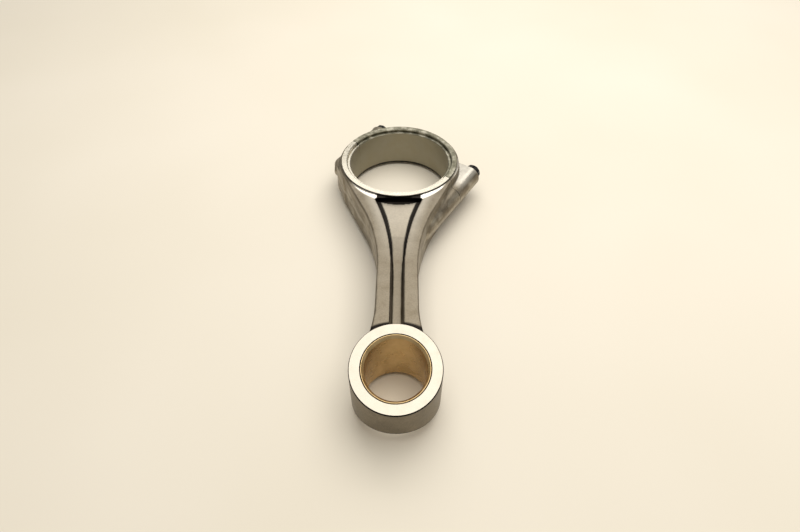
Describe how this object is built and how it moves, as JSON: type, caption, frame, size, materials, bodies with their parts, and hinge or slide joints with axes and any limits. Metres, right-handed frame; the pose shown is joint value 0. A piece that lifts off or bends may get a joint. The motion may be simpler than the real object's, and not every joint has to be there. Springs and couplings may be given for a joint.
{
  "type": "connecting rod",
  "caption": "Forged engine connecting rod with an obliquely split, bolted big end, plain bearing shells and a bronze-bushed keystone small end.",
  "frame": {"origin": "centre of the big-end (crankpin) bore, halfway along the bore", "axes": "+Z along both bores; +Y from the small end towards the big end; +X completes a right-handed frame. The rod lies flat with both bores upright"},
  "size_m": [0.1279, 0.3035, 0.0448],
  "materials": {
    "forged_steel": "shot-blasted forging, grey-brown, with bright machined faces",
    "bolt_steel": "black oxide",
    "bush_bronze": "fine-bored bronze",
    "shell_overlay": "matte grey soft overlay on a steel back",
    "sleeve_steel": "ground steel"
  },
  "bodies": {
    "rod": {"rod_body": "forged_steel", "small_end_bush": "bush_bronze", "bearing_shell_rod": "shell_overlay", "dowel_left": "sleeve_steel", "dowel_right": "sleeve_steel"},
    "cap": {"bearing_cap": "forged_steel", "bearing_shell_cap": "shell_overlay"},
    "bolt_left": {"cap_bolt_left": "bolt_steel"},
    "bolt_right": {"cap_bolt_right": "bolt_steel"}
  },
  "joints": [
    {"name": "cap_lift", "type": "slide", "parent": "rod", "child": "cap", "axis": [0.5299, 0.848, 0], "range_m": [0, 0.06]},
    {"name": "bolt_left_out", "type": "slide", "parent": "cap", "child": "bolt_left", "axis": [0.5299, 0.848, 0], "range_m": [0, 0.06]},
    {"name": "bolt_right_out", "type": "slide", "parent": "cap", "child": "bolt_right", "axis": [0.5299, 0.848, 0], "range_m": [0, 0.06]}
  ]
}
